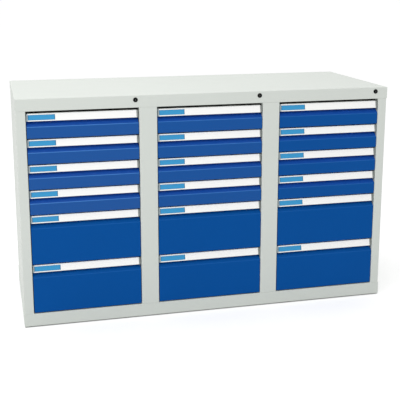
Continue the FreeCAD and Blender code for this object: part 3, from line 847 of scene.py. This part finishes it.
def ring_angles(half_width, half_height):
    """Evenly spread angles, with those of the rectangle's corners among them."""
    corner = math.atan2(half_height, half_width)
    corners = [corner, math.pi - corner, math.pi + corner, 2 * math.pi - corner]
    even = [2 * math.pi * step / LATHE_STEPS for step in range(LATHE_STEPS)]
    return sorted(even + corners)


def nested_shell_into(shape, centre, angles, rings):
    """A shell of rings, each (outline by angle, y), filled at both ends."""
    sections = []
    for outline, y in rings:
        flat = [outline(angle) for angle in angles]
        sections.append([centre + Vector((x, y, z)) for x, z in flat])
    loft_into(shape, sections)


def make_plug(column, material):
    """The black turning plug, with a seat for the key plate in its face."""
    low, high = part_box(f"lock_plug_{column}")
    centre = lock_place(column)
    face, tail = low.y - centre.y, high.y - centre.y
    rings = [(circle(PLUG_RADIUS), tail), (circle(PLUG_RADIUS), face + PLUG_ROUND)]
    for step in range(1, ROUND_STEPS + 1):
        turn = math.pi / 2 * step / ROUND_STEPS
        radius = PLUG_RADIUS - PLUG_ROUND * (1 - math.cos(turn))
        rings.append((circle(radius), face + PLUG_ROUND * (1 - math.sin(turn))))
    seat = rectangle(KEYWAY_HALF_WIDTH, KEYWAY_HALF_HEIGHT)
    rings += [(seat, face), (seat, face + KEY_SLOT_DEPTH)]
    angles = ring_angles(KEYWAY_HALF_WIDTH, KEYWAY_HALF_HEIGHT)
    shape = bmesh.new()
    nested_shell_into(shape, centre, angles, rings)
    name = f"lock_plug_cap_{column}"
    piece = add_piece(name, shape, material, f"lock_{column}")
    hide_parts(f"lock_plug_{column}")


def make_key_plate(column, material):
    """The plated insert with the slot for the key."""
    centre = lock_place(column)
    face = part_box(f"lock_plug_{column}")[0].y - centre.y
    outside = rectangle(KEYWAY_HALF_WIDTH - KEYWAY_GAP, KEYWAY_HALF_HEIGHT - KEYWAY_GAP)
    slot = rectangle(KEY_SLOT_HALF_WIDTH, KEY_SLOT_HALF_HEIGHT)
    rings = [
        (outside, face + KEY_SLOT_DEPTH),
        (outside, face + KEYWAY_RISE),
        (slot, face + KEYWAY_RISE),
        (slot, face + KEY_SLOT_DEPTH - KEYWAY_RISE),
    ]
    angles = ring_angles(KEY_SLOT_HALF_WIDTH, KEY_SLOT_HALF_HEIGHT)
    shape = bmesh.new()
    nested_shell_into(shape, centre, angles, rings)
    add_piece(f"lock_key_plate_{column}", shape, material, f"lock_{column}")


# ---------------------------------------------------------------- camera, lamps and floor

# the camera that was fitted to the photograph, in pixels, metres and degrees
PHOTO_SIDE = 400
FOCAL_PIXELS = 840.4
SENSOR_WIDTH = 36
CAMERA_PLACE = (-0.8336, -3.4455, 1.3393)
CAMERA_DOWN = 12.253
CAMERA_RIGHT = 14.088
CAMERA_SHIFT = -0.1
CAMERA_REACH = 200

# a long lamp in front of the cabinet's upper left, and a broad one over it
KEY_LAMP = {
    "place": (-2.3, -3.3, 3.3),
    "target": (0, 0, 0.5),
    "width": 4.0,
    "height": 0.5,
    "watts": 60,
}
TOP_LAMP = {
    "place": (-0.9, 0.4, 3.4),
    "target": (-0.1, 0, 0.9),
    "width": 3.0,
    "height": 2.0,
    "watts": 23,
}

# the level light of the world, and the floor with the glow that lifts it to white
WORLD_LEVEL = 0.79
FLOOR_GREY = rgb(230, 230, 230)
FLOOR_GLOW = 0.38
FLOOR_GLOW_INSET = 1 * MM
FLOOR_REACH = 90


def make_camera():
    """The photograph's camera, with only a small part of the shift that its crop implies."""
    data = bpy.data.cameras.new("photo_camera")
    data.sensor_width = SENSOR_WIDTH
    data.lens = FOCAL_PIXELS / PHOTO_SIDE * SENSOR_WIDTH
    data.shift_y = CAMERA_SHIFT
    data.clip_end = CAMERA_REACH
    camera = link_object("photo_camera", data)
    camera.location = CAMERA_PLACE
    camera.rotation_euler = (math.radians(90 - CAMERA_DOWN), 0, math.radians(-CAMERA_RIGHT))
    bpy.context.scene.camera = camera


def make_lamp(name, place, target, width, height, watts):
    """A soft rectangular lamp that faces a target."""
    data = bpy.data.lights.new(name, "AREA")
    data.shape = "RECTANGLE"
    data.size = width
    data.size_y = height
    data.energy = watts
    lamp = link_object(name, data)
    lamp.location = place
    aim = Vector(target) - Vector(place)
    lamp.rotation_euler = aim.to_track_quat("-Z", "Y").to_euler()


def seen_directly(graph):
    """1 for camera, mirror and glass rays, and 0 for the rays that only light the scene."""
    rays = graph.node("ShaderNodeLightPath").outputs
    seen = rays["Is Camera Ray"]
    for name in ("Is Glossy Ray", "Is Transmission Ray"):
        seen = graph.calc("MAXIMUM", seen, rays[name])
    return seen


def make_world():
    """White where it is seen, and a level light elsewhere."""
    world = bpy.data.worlds.new("studio")
    bpy.context.scene.world = world
    world.use_nodes = True
    graph = Nodes(world.node_tree)
    background = graph.tree.nodes["Background"].inputs
    graph.feed(background["Color"], WHITE)
    graph.feed(background["Strength"], graph.ramp(seen_directly(graph), WORLD_LEVEL, 1.0))


def outside_footprint(graph):
    """0 on the floor under the cabinet, where only the real shade counts, and 1 elsewhere."""
    past = []
    for name, reach in (("X", cad_high[0]), ("Y", cad_high[1])):
        distance = graph.calc("ABSOLUTE", graph.along(name))
        past.append(graph.beyond(distance, reach - FLOOR_GLOW_INSET))
    return graph.calc("MAXIMUM", *past)


def make_floor():
    """A pale floor that looks white beside the shadow it keeps."""
    shape = bmesh.new()
    corners = [(-1, -1), (1, -1), (1, 1), (-1, 1)]
    points = [(x * FLOOR_REACH, y * FLOOR_REACH, 0) for x, y in corners]
    shape.faces.new([shape.verts.new(point) for point in points])
    mesh = bpy.data.meshes.new("floor")
    shape.to_mesh(mesh)
    shape.free()
    floor = link_object("floor", mesh)
    graph = Graph("floor_white")
    glow = graph.times(seen_directly(graph), FLOOR_GLOW)
    paint = graph.surface(
        Base_Color=FLOOR_GREY,
        Roughness=0.9,
        Specular_IOR_Level=0.0,
        Emission_Color=WHITE,
        Emission_Strength=graph.times(glow, outside_footprint(graph)),
    )
    mesh.materials.append(paint)


def make_studio():
    """The camera, the floor and a level light with two soft lamps."""
    make_camera()
    make_world()
    make_floor()
    make_lamp("key_lamp", **KEY_LAMP)
    make_lamp("top_lamp", **TOP_LAMP)
    bpy.context.scene.view_settings.view_transform = "Standard"


# ---------------------------------------------------------------- the cabinet


def dress_shell():
    """One grey paint on all the sheets of the cabinet's body."""
    paint = make_cabinet_paint()
    for node in (
        "top_cover",
        "base_plinth",
        "left_side_panel",
        "right_side_panel",
        "divider_left",
        "divider_right",
        "back_panel",
    ):
        dress(node, paint)


def dress_works():
    """The metal and plastic parts inside the cabinet, the feet and the back screws."""
    galvanised = make_galvanised()
    dress("uprights", galvanised)
    for column in COLUMNS:
        dress(f"{column}_column_runners", galvanised)
        dress(f"lock_cam_{column}", galvanised)
        dress(f"lock_bar_{column}", galvanised)
    dress("runner_glides", make_moulded_plastic("glide_nylon", NYLON_BLACK, rough=0.42))
    pad_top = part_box("levelling_feet")[0].z + FOOT_PAD_HEIGHT
    dress("levelling_feet", make_foot_material(pad_top))
    dress("back_screws", make_bright_metal("screw_zinc", ZINC_GREY, rough=0.3))


def make_drawer_paints():
    """The paints of the low fronts by column, and that of the large ones."""
    front_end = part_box("drawer_left_1_grip")[1].y + TUB_SHEET
    small = {}
    for column, finish in SMALL_FRONTS.items():
        name = f"small_drawer_blue_{column}"
        small[column] = make_drawer_paint(name, front_end, SMALL_RECESS_SHADE_BLUE, **finish)
    large = make_drawer_paint("large_drawer_blue", front_end, LARGE_RECESS_SHADE_BLUE, **LARGE_FRONTS)
    return small, large


def make_field_paper():
    """The paper of the printed field: light blue, with a darker line round it."""
    field_height = Grip("drawer_left_1").face - 2 * (RIM_HEIGHT + FIELD_EDGE_GAP)
    line = (FIELD_LINE_BLUE, FIELD_END_LINE / FIELD_LENGTH, FIELD_LINE / field_height)
    return make_card_paper("label_field_blue", FIELD_BLUE, dark=0.94, line=line)


def make_drawers():
    """Paints each drawer and gives it its strip, label, end caps and tray rim."""
    small_paints, large_paint = make_drawer_paints()
    hem_paint = make_moulded_plastic(
        "tray_hem_grey", TUB_GREY, rough=0.42, grain=PEEL_SCALE, level=0.3
    )
    strip_paint = make_strip_paint()
    card_paper = make_card_paper("label_card_white", CARD_WHITE, dark=0.985)
    field_paper = make_field_paper()
    cap_plastics = {
        "left": make_moulded_plastic("grip_cap_grey", CAP_GREY),
        # painted shade: the right caps take a darker grey than the left ones
        "right": make_moulded_plastic("grip_cap_shaded_grey", CAP_SHADE_GREY),
    }
    for column in COLUMNS:
        for number in range(1, DRAWERS_PER_COLUMN + 1):
            drawer = f"drawer_{column}_{number}"
            paint = small_paints[column] if number <= SMALL_DRAWERS else large_paint
            dress(f"{drawer}_tray", paint)
            grip = Grip(drawer)
            make_strip(grip, strip_paint)
            make_card(grip, card_paper)
            make_field(grip, field_paper)
            for side, plastic in cap_plastics.items():
                make_cap(grip, side, plastic)
            make_hem(drawer, hem_paint)


def make_locks():
    """Rings, plugs and key plates; one CAD node holds all three housings."""
    black = make_moulded_plastic("lock_black", LOCK_BLACK, rough=0.35, level=0.04)
    nickel = make_bright_metal("lock_nickel", NICKEL_GREY, rough=0.28)
    for column in COLUMNS:
        housing = make_lock_housing(column, black)
        if column == COLUMNS[0]:
            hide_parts("lock_housings")
        make_plug(column, black)
        make_key_plate(column, nickel)


make_studio()
dress_shell()
dress_works()
make_drawers()
make_locks()
